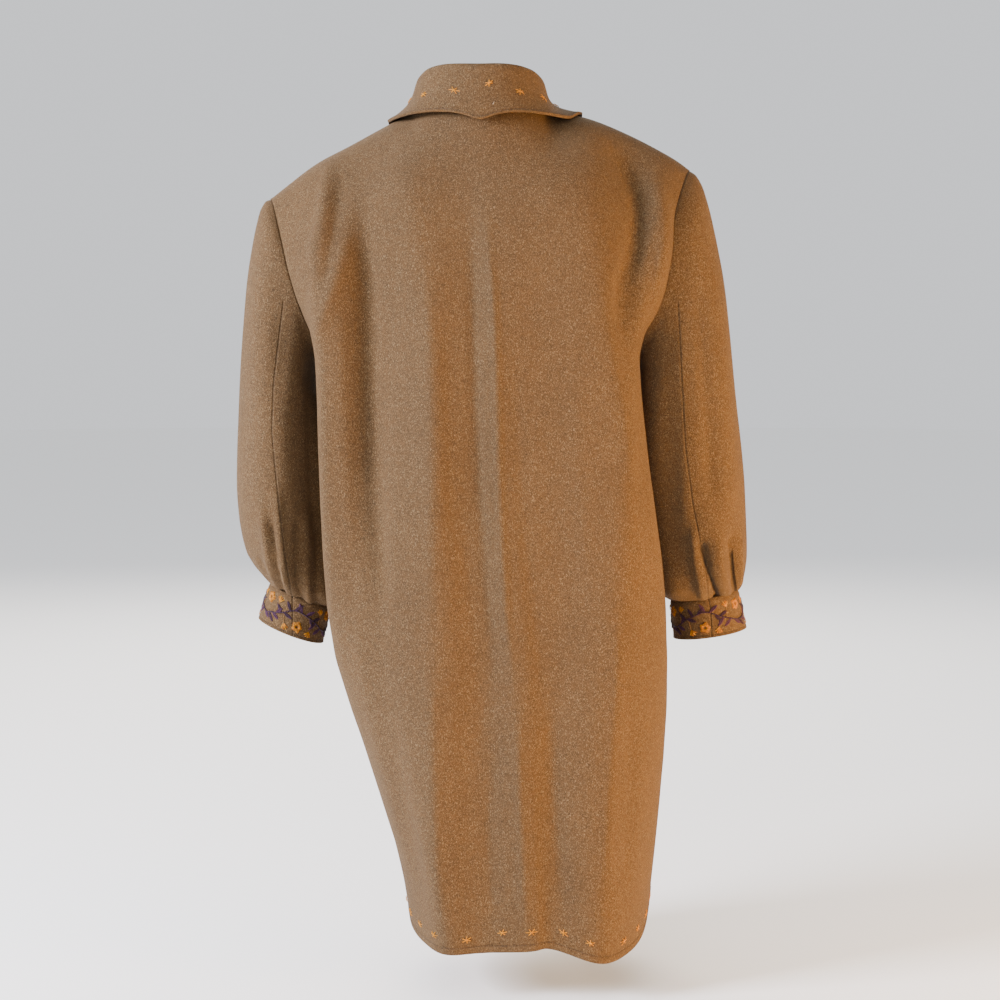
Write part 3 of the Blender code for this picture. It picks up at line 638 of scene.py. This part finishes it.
# %% Up from the bottom edge
def up_from_bottom(piece):
    """Distances up from the bottom edge, the ways out at the other edges, and the columns.

    The way out is a step of length 1 off the cloth's edge, and 0 inside. A column is the list of
    points up the cloth from one point of the bottom edge.
    """
    shape = bmesh.new()
    shape.from_mesh(piece.data)
    shape.verts.ensure_lookup_table()
    runs_down = ways(shape)
    across = [e for e in shape.edges if e.is_boundary and not runs_down[e]]
    start = lowest(across)
    bottom, waiting = set(start.verts), list(start.verts)
    while waiting:
        for side in waiting.pop().link_edges:
            if side.is_boundary and not runs_down[side]:
                for point in side.verts:
                    if point not in bottom:
                        bottom.add(point)
                        waiting.append(point)

    def beside(point):
        """The next points along the bottom edge."""
        return [side.other_vert(point) for side in point.link_edges
                if side.is_boundary and not runs_down[side]]

    ends = [point for point in bottom if len(beside(point)) == 1] or list(bottom)
    order = [max(ends, key=lambda v: (v.co.x, v.co.y))]
    while len(order) < len(bottom):
        following = (v for v in beside(order[-1]) if v not in order[-2:])
        order.append(max(following, key=lambda v: v.co.y))
    up = {point: 0.0 for point in bottom}
    above = {}
    row = list(bottom)
    while row:
        following = []
        for point in row:
            for side in point.link_edges:
                other = side.other_vert(point)
                if runs_down[side] and other not in up:
                    up[other] = up[point] + side.calc_length()
                    above[point] = other
                    following.append(other)
        row = following
    rise = np.array([up[v] for v in shape.verts])
    out = np.zeros((len(shape.verts), 3))
    for point in shape.verts:
        if point.is_boundary and point not in bottom:
            inner = [side.other_vert(point).co for side in point.link_edges if not side.is_boundary]
            if inner:
                out[point.index] = (point.co - inner[0]).normalized()
    columns = []
    for point in order:
        column = [point.index]
        while point in above:
            point = above[point]
            column.append(point.index)
        columns.append(column)
    shape.free()
    return rise, out, columns


def store(piece, name, values):
    """Keep one number for each point of a piece, under a name."""
    layer = piece.data.attributes.new(name, "FLOAT", "POINT")
    layer.data.foreach_set("value", np.asarray(values, np.float32))


# %% [markdown]
# ## Sunken seams
# A seam's thread pulls the cloth down, so the points on sewn edges sink a little and two pieces
# meet in a fine valley. The hem, the cuffs and the collar are turned under and stitched a few
# millimetres in, where the cloth is a little thicker. The stitch line is stored on the cloth as
# a distance, and the wool draws it as a groove, darkened along it with painted shade.

# %% Sink the seams, thicken the turned edges
STITCH_IN_MM = {"back": 8.0, "front_left": 8.0, "front_right": 8.0,
                "cuff_left": 3.2, "cuff_right": 3.2, "collar": 2.4}
TURNED_MM = 0.7           # how much thicker the cloth is where it is turned under
SEAM_MM = 0.5             # how far a sewn edge sinks
UNDER_MM = 1.4            # how far a piece reaches under the edge that it is sewn to
UNDER_SINKS = 3.0         # how much deeper such an edge sinks
FRONT_GAP = -0.035        # the fronts part at this place across, in metres


def sewn_edge(node, places, out):
    """The points on the edges where a piece is sewn to another; the collar's are hidden."""
    edge = np.abs(out).sum(axis=1) > 0
    if node.startswith("front"):
        edge &= ~((np.abs(places[:, 0] - FRONT_GAP) < 0.06) & (places[:, 1] < -0.07))
    return edge & (node != "collar")


laid = {}
for node, piece in sheets.items():
    rise, out, columns = up_from_bottom(piece)
    places, normals = points_of(piece)
    line_mm = STITCH_IN_MM.get(node)
    edge = sewn_edge(node, places, out)
    sunk = np.where(edge, SEAM_MM * MM, 0.0)
    if node != "back":
        sunk *= UNDER_SINKS
        places += out * edge[:, None] * UNDER_MM * MM
    if node in SLEEVES:
        sunk = np.maximum(sunk, np.where(rise == 0.0, SEAM_MM * MM, 0.0))
    if line_mm:
        sunk -= TURNED_MM * MM * np.clip((line_mm * MM - rise) / (1.5 * MM), 0, 1)
    move_to(piece, places - normals * sunk[:, None])
    store(piece, "edge", rise - line_mm * MM if line_mm else np.ones(len(rise)))
    laid[node] = (rise, columns)
    print(piece.name, "is", round(rise.max() / MM), "mm long down its longest line")

# %% [markdown]
# ## Seams and tucks within a piece
# Each sleeve has a seam down its back, which goes on through the cuff, and the right one has two
# tucks pressed flat above its cuff. The cloth isn't cut there, so they are only stored distances,
# which the wool draws as grooves darkened with painted shade.

# %% Seams down the sleeves, and tucks
SLEEVE_SEAMS = {
    "left": ((286, 300), (282, 332), (276, 383), (274, 431), (278, 479), (284, 543), (289, 584),
             (290, 613), (290, 650)),
    "right": ((676, 300), (680, 383), (684, 447), (692, 504), (705, 565), (710, 597), (713, 613),
              (715, 660)),
}
TUCKS = (((701, 548), (708, 572), (724, 606)), ((733, 556), (736, 578), (742, 602)))
TUCK_FADE_MM = 7.0


def drawn_at(line):
    """Heights, measured downwards, and places across, of a line in the picture."""
    marks = np.array([seen_at(column, row, SLEEVE_BACK) for column, row in line])
    return -marks[:, 1], marks[:, 0]


for node, piece in sheets.items():
    places, normals = points_of(piece)
    fallen = -places[:, 2]
    from_seam = np.ones(len(places))
    if node in (*SLEEVES, *CUFFS):
        down, across = drawn_at(SLEEVE_SEAMS[node.split("_")[1]])
        from_seam = np.where((normals[:, 1] > 0.0) & (fallen > down[0]),
                             places[:, 0] - np.interp(fallen, down, across), 0.06)
    store(piece, "seam", from_seam)
    tuck, pressed = np.ones(len(places)), np.zeros(len(places))
    if node == "sleeve_right":
        gaps, masks = [], []
        for line, hand in zip(TUCKS, (-1, 1)):
            down, across = drawn_at(line)
            past = np.maximum(0, np.maximum(down[0] - fallen, fallen - down[-1]))
            gaps.append(hand * (places[:, 0] - np.interp(fallen, down, across)))
            masks.append(np.clip(1 - past / (TUCK_FADE_MM * MM), 0, 1) * (normals[:, 1] > 0.0))
        nearer = np.abs(gaps[0]) < np.abs(gaps[1])
        tuck = np.where(nearer, gaps[0], gaps[1])
        pressed = np.where(nearer, masks[0], masks[1])
    store(piece, "tuck", tuck)
    store(piece, "pressed", pressed)
print("seams drawn down both sleeves, and two tucks")

# %% [markdown]
# ## Where a stitch goes
# Stitches are planned flat, as a sewer marks them: so many millimetres along the edge and up from
# it. The columns of points that run up from the bottom edge of each piece carry such a plan onto
# the hanging cloth, and a place in the picture can be looked up the other way round.

# %% A flat plan for each edge
class Plan:
    """Millimetres along and up from the bottom edge of a piece, laid on its outer face."""

    def __init__(self, node, height, closed=False):
        self.rise, columns = laid[node]
        self.columns = columns + columns[:1] if closed else columns
        self.places, self.normals = points_of(sheets[node])
        row = np.array([self.up(column, height)[0] for column in self.columns])
        steps = np.linalg.norm(np.diff(row, axis=0), axis=1)
        self.along = np.concatenate(([0], np.cumsum(steps))) / MM
        self.length = self.along[-1]
        self.closed = closed

    def up(self, column, height):
        """The place and normal at a height in millimetres up one column."""
        heights = self.rise[column] / MM
        return (np.array([np.interp(height, heights, self.places[column, k]) for k in range(3)]),
                np.array([np.interp(height, heights, self.normals[column, k]) for k in range(3)]))

    def at(self, along, height):
        """The place and normal of a mark on the plan."""
        along = along % self.length if self.closed else min(max(along, 0.0), self.length)
        k = int(np.clip(np.searchsorted(self.along, along) - 1, 0, len(self.columns) - 2))
        part = (along - self.along[k]) / (self.along[k + 1] - self.along[k])
        (a, na), (b, nb) = self.up(self.columns[k], height), self.up(self.columns[k + 1], height)
        return Vector(a + (b - a) * part), Vector(na + (nb - na) * part).normalized()

    def under(self, column, row):
        """The mark that a place in the picture shows."""
        best, mark = PICTURE, (0.0, 0.0)
        for k, points in enumerate(self.columns):
            places = self.places[points]
            reach = (CAMERA.y - places[:, 1]) * PIXEL_MM / LENS_MM
            gap = np.hypot(MIDDLE - (places[:, 0] - CAMERA.x) / reach - column,
                           HORIZON_ROW - (places[:, 2] - CAMERA.z) / reach - row)
            gap = np.where(self.normals[points, 1] > 0.15, gap, PICTURE)
            if gap.min() < best:
                best, mark = gap.min(), (self.along[k], self.rise[points[int(gap.argmin())]] / MM)
        return mark


# %% [markdown]
# ## Threads
# A stitch is one short thread that comes up out of the cloth and dives back into it. Each is a
# curve with its own thickness along it, which holds thousands of stitches in little room.

# %% A thread and a stitch
def thread_work(name):
    """A curve that will hold many threads of one colour."""
    curve = bpy.data.curves.new(name, "CURVE")
    curve.dimensions = "3D"
    curve.bevel_depth = 1.0
    curve.bevel_resolution = 0
    curve.use_fill_caps = True
    return in_scene(name, curve)


def stitch(work, plan, start, end, thick, points=6, arch=0.2, over=0.0):
    """One straight thread between two marks; it dives into the cloth at both ends."""
    spline = work.data.splines.new("POLY")
    spline.points.add(points - 1)
    for k in range(points):
        t = k / (points - 1)
        place, normal = plan.at(*(a + (b - a) * t for a, b in zip(start, end)))
        swell = math.sin(math.pi * t)
        lift = over + thick * (0.6 * min(1.0, 2.4 * swell) + arch * swell)
        place += normal * MM * (lift - 0.45 * (1 - swell) ** 3)
        spline.points[k].co = (*place, 1.0)
        spline.points[k].radius = thick / 2 * MM * (0.6 + 0.4 * min(1.0, 2.5 * swell))


def along_the_curve(work, plan, marks, length, thick, slant=0.0, over=0.0):
    """Stem stitch: short overlapping stitches along a line of marks."""
    marks = np.array(marks, float)
    far = np.concatenate(([0], np.cumsum(np.linalg.norm(np.diff(marks, axis=0), axis=1))))
    for start in np.arange(0.0, far[-1], length * 0.72):
        first, last = (np.array([np.interp(d, far, marks[:, k]) for k in (0, 1)])
                       for d in (start, min(start + length, far[-1])))
        way = last - first
        if np.hypot(*way) > 0.8:
            side = np.array((-way[1], way[0])) / np.hypot(*way) * slant
            stitch(work, plan, first - side, last + side, thick, points=5, over=over)


works = {}
for colour in ("orange", "amber", "gold", "plum", "mauve", "tan", "umber", "brown", "cream"):
    works[colour] = thread_work(f"thread_{colour}")
MARKED_MM = {"back": 23, "front_left": 23, "front_right": 23, "collar": 36,
             "cuff_left": 23, "cuff_right": 23}      # how high up the marks are measured
plans = {node: Plan(node, height, closed=node in CUFFS) for node, height in MARKED_MM.items()}
for node, plan in plans.items():
    print(node, "edge plan:", round(plan.length), "mm long")

# %% [markdown]
# ## Hem, cuff and collar stitches
# The turned edges are held by a plain running stitch in thread of the cloth's own brown, 3 mm long
# with short gaps. It runs about 8 mm from the edge on the hem and 2 to 3 mm from it on the cuffs
# and the collar, and each stitch is pulled down into a small dent.

# %% Running stitches
def running(node, height, length=3.0, gap=1.3, thick=0.42):
    """Running stitches along a whole edge, a little uneven; returns how many."""
    plan, made = plans[node], 0
    for start in np.arange(1.0, plan.length - length - 1.0, length + gap):
        level = height + 0.35 * noise.noise(Vector((start * 0.05, height, 2.0)))
        stitch(works["brown"], plan, (start, level), (start + length, level), thick, points=4)
        made += 1
    return made


for node, height in STITCH_IN_MM.items():
    print(node, "running stitches:", running(node, height, length=2.6 if height < 5 else 3.2))

# %% [markdown]
# ## Six-pointed stars
# A row of small stars runs round the hem and the collar. Each is three straight stitches in thick
# golden orange thread, crossed at their middles. They are wider than tall, and each is turned a
# little differently, as by hand. Those in the photo are placed first, and the row goes on evenly.

# %% Stars
STAR_EVERY_MM = {"back": 36.0, "front_left": 36.0, "front_right": 36.0, "collar": 39.0}
STAR_HEIGHT_MM = 23.0
STAR_END_MM = 9.0         # no star is nearer to the end of an edge
WIDER, LOWER = 1.25, 0.8
SEEN_STARS = {
    "back": ((435, 934), (468, 940), (501, 933), (532, 932), (563, 932), (590, 944), (623, 941)),
    "collar": ((423, 94), (454, 89), (488, 85), (521, 92)),
}
LOOSE_END = (493, 104)


def star(plan, centre, size, turn, thick=0.9):
    """Three crossed stitches; the last lies on top."""
    for k in range(3):
        angle = turn + math.pi * k / 3
        reach = size / 2 * (1.0 + 0.12 * math.sin(5.0 * centre[0] + 2.0 * k))
        arm = (WIDER * reach * math.cos(angle), LOWER * reach * math.sin(angle))
        stitch(works["gold"], plan, (centre[0] - arm[0], centre[1] - arm[1]),
               (centre[0] + arm[0], centre[1] + arm[1]), thick, points=8, over=0.22 * k)


for node, spacing in STAR_EVERY_MM.items():
    plan = plans[node]
    shown = sorted(plan.under(*place) for place in SEEN_STARS.get(node, ()))
    level = sum(mark[1] for mark in shown) / len(shown) if shown else STAR_HEIGHT_MM
    first, last = (shown[0][0], shown[-1][0]) if shown else (spacing / 2, spacing / 2)
    marks = [(along, level) for along in np.arange(first - spacing, STAR_END_MM, -spacing)]
    marks += shown or [(spacing / 2, level)]
    marks += [(along, level)
              for along in np.arange(last + spacing, plan.length - STAR_END_MM, spacing)]
    for k, mark in enumerate(marks):
        star(plan, mark, 10.0 + 1.2 * math.sin(2.3 * k), 0.25 + 0.35 * math.sin(1.9 * k))
    print(node, "stars:", len(marks), "at", round(level), "mm up, seen in the photo:", len(shown))
loose = plans["collar"].under(*LOOSE_END)
stitch(works["cream"], plans["collar"], loose, (loose[0] + 2.0, loose[1] + 2.6), 0.6)

# %% [markdown]
# ## A flowering vine round each cuff
# A plum vine winds once up and down for every two flowers, and slim leaves lie along both its
# sides. Round orange flowers and small fan buds on thin tan stems sit in its hollows, by turns
# above and below. It is all satin stitch: flat threads laid close together across each shape.

# %% Leaves, flowers and buds
def heading(angle):
    """The way of an angle on the plan, and the way square to it."""
    way = np.array((math.cos(angle), math.sin(angle)))
    return way, np.array((-way[1], way[0]))


def leaf(plan, base, angle, length, width, colour):
    """A slim leaf: slanting threads across it, shorter towards both ends, on a middle line."""
    base = np.array(base)
    way, side = heading(angle)
    count = int(length / 0.85)
    for k in range(count):
        t = (k + 0.7) / count
        half = width / 2 * math.sin(math.pi * min(1.0, t * 0.94 + 0.04)) ** 0.8
        middle = base + way * length * t
        for hand in (-1, 1):
            stitch(works[colour], plan, middle - way * 0.3,
                   middle + side * hand * half + way * 0.9, 1.0, points=4, arch=0.15)
    stitch(works["plum"], plan, base, base + way * length * 0.95, 0.5, over=0.45)


def flower(plan, centre, size, turn):
    """A round flower: threads from the middle out, some paler, and short dark centre lines."""
    centre = np.array(centre)
    threads, lines = 30, 7
    for k in range(threads):
        angle = turn + 2 * math.pi * k / threads
        reach = size / 2 * (0.88 + 0.12 * math.cos(5 * angle) + 0.04 * math.sin(7.0 * k))
        way, _ = heading(angle)
        stitch(works["amber" if k % 3 == 0 else "orange"], plan, centre + way,
               centre + way * reach, 1.15, points=5, arch=0.35)
    for k in range(lines):
        way, _ = heading(turn + 0.4 + 2 * math.pi * k / lines)
        reach = size * (0.33 + 0.06 * math.sin(3.0 * k))
        stitch(works["umber"], plan, centre + way * 0.8, centre + way * reach, 0.5,
               points=5, over=0.75)


def bud(plan, base, tip_angle, stem_from):
    """A small fan of four prongs on a thin stem."""
    along_the_curve(works["tan"], plan, (stem_from, base), 3.2, 0.6)
    base = np.array(base)
    for k in range(4):
        way, side = heading(tip_angle + (k - 1.5) * 0.42)
        length = 8.4 - 0.7 * abs(k - 1.5)
        for shift in (-0.32, 0.32):
            stitch(works["orange" if k % 2 else "amber"], plan, base + side * shift * 0.4,
                   base + way * length + side * shift, 0.95, points=5, arch=0.3)


# %% [markdown]
# ## The pattern
# One wave of the vine is laid out as a small table and repeated three times round each cuff,
# starting at the flower in the photo.

# %% Embroider both cuffs
FLOWER_MM = 14.5
HIGH_FLOWER_MM, LOW_FLOWER_MM = 34.0, 12.5
VINE_MM, SWING_MM = 23.0, 7.5       # the vine's middle height, and its swing to each side
WAVES = 3                           # waves of the vine round a cuff
SEEN_FLOWER = {"cuff_left": (270, 604), "cuff_right": (737, 620)}
BUDS = (
    # part of the wave, height in mm, the way it points
    (0.17, 34.5, 1.35), (0.31, 9.5, -1.15), (0.69, 9.0, -1.9), (0.83, 35.0, 1.8),
)
LEAVES = (
    # part of the wave, the way it points, length in mm
    (0.03, -0.75, 12.0), (0.10, -0.45, 10.5), (0.16, 0.85, 9.5), (0.24, 2.35, 11.0),
    (0.27, -0.3, 11.5), (0.36, 2.15, 10.5), (0.42, 0.75, 12.0), (0.53, 2.1, 11.0),
    (0.59, 0.6, 12.0), (0.66, -1.0, 9.5), (0.72, 0.45, 10.5), (0.77, -2.3, 11.5),
    (0.88, -2.5, 12.0), (0.94, -0.6, 10.5),
)
LEAF_WIDTH_MM = 4.2


def vine(along, start, period):
    """Height of the vine at a place along the cuff, low under the flower at its start."""
    wave = math.cos(2 * math.pi * (along - start) / period)
    return VINE_MM - SWING_MM * wave + 0.8 * math.sin(along * 0.21)


for node, seen in SEEN_FLOWER.items():
    plan = plans[node]
    period = plan.length / WAVES
    start = plan.under(*seen)[0]
    line = [(start + a, vine(start + a, start, period)) for a in np.arange(0, plan.length + 1, 2.0)]
    along_the_curve(works["plum"], plan, line, 5.0, 1.4, slant=0.4)
    for k in range(WAVES):
        middle = start + k * period
        flower(plan, (middle, HIGH_FLOWER_MM), FLOWER_MM, 0.3 + k)
        flower(plan, (middle + period / 2, LOW_FLOWER_MM), FLOWER_MM, 1.1 + k)
        for part, low, way in BUDS:
            along = middle + part * period
            bud(plan, (along, low - 2.0 * math.sin(way)), way,
                (along - 2.5 * math.cos(way) - 1.5, vine(along, start, period)))
        for part, way, length in LEAVES:
            along = middle + part * period
            leaf(plan, (along, vine(along, start, period)), way, length, LEAF_WIDTH_MM,
                 "mauve" if round(part * 100) % 3 else "plum")
    print(node, "wave of the vine:", round(period), "mm; first flower at", round(start), "mm")

# %% [markdown]
# ## Floss
# The threads are cotton floss with a soft lustre. Its twist shows as fine slanting ridges, and
# the colour varies a little from stitch to stitch. All threads of one colour become one mesh.

# %% Floss and finished threads
THREAD_COLOURS = {
    "gold": ("#C08010", "#9C6208"), "orange": ("#9E5C00", "#7C4800"),
    "amber": ("#AE7606", "#8C5C04"), "plum": ("#2E1029", "#1F0A1C"),
    "mauve": ("#431E3D", "#32162E"), "tan": ("#8E683A", "#72502A"),
    "umber": ("#3C1E10", "#2C140A"), "brown": ("#4A3522", "#382718"),
    "cream": ("#C8BCA8", "#AC9E88"),
}
TWIST_MM = 0.12           # height of the twist's ridges


def floss(name, light, deep):
    """Twisted cotton thread with a soft lustre."""
    made = bpy.data.materials.new(name)
    made.use_nodes = True
    tree = made.node_tree
    shader = tree.nodes["Principled BSDF"]
    place = add(tree, "TexCoord", out="Object")
    dye = add(tree, "TexNoise", {"Vector": place, "Scale": 420.0, "Detail": 3.0, "Roughness": 0.6})
    tone = stops(add(tree, "ValToRGB", {"Fac": dye}), (0.36, deep), (0.6, light))
    tree.links.new(tone, shader.inputs["Base Color"])
    turned = add(tree, "Mapping", {"Vector": place, "Rotation": (0.6, 0.9, 0.4)})
    twist = add(tree, "TexWave", {"Vector": turned, "Scale": 620.0, "Distortion": 1.5}, out="Fac")
    bump = add(tree, "Bump", {"Height": twist, "Strength": 0.5, "Distance": TWIST_MM * MM})
    tree.links.new(bump, shader.inputs["Normal"])
    dial(shader, {"Roughness": 0.66, "Specular IOR Level": 0.3, "Sheen Weight": 0.05,
                  "Sheen Roughness": 0.35})
    return made


for colour, work in works.items():
    pick(work)
    bpy.ops.object.convert(target="MESH")
    bpy.ops.object.shade_smooth()
    work.data.materials.clear()
    work.data.materials.append(floss(f"cotton_floss_{colour}", *THREAD_COLOURS[colour]))
    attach(work, "root")
    print(work.name, "triangles:", sum(len(f.vertices) - 2 for f in work.data.polygons))

# %% [markdown]
# ## Thickness
# A wool coating is about 2.4 mm thick. Solidify gives each sheet its wall, inward, so the outer
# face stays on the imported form. The collar is doubled. A small bevel rounds the cut edges.

# %% Thickness
COLLAR_MM = 3.4
ROUNDED_MM = 0.6
SHARP = 65                # degrees; edges sharper than this are rounded


def give_wall(piece, thickness):
    """Turn a sheet into a closed wall with rounded edges."""
    pick(piece)
    wall = piece.modifiers.new("wall", "SOLIDIFY")
    wall.thickness = thickness * MM
    wall.offset = -1.0
    bpy.ops.object.modifier_apply(modifier="wall")
    rounded = piece.modifiers.new("soft_edge", "BEVEL")
    rounded.width = ROUNDED_MM * MM
    rounded.segments = 2
    rounded.limit_method = "ANGLE"
    rounded.angle_limit = math.radians(SHARP)
    bpy.ops.object.modifier_apply(modifier="soft_edge")
    bpy.ops.object.shade_smooth()


for node, piece in sheets.items():
    give_wall(piece, COLLAR_MM if node == "collar" else WALL_MM)
    piece.data.materials.append(wool)
    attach(piece, "root")
    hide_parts(node)
    print(piece.name, "faces with wall:", len(piece.data.polygons))
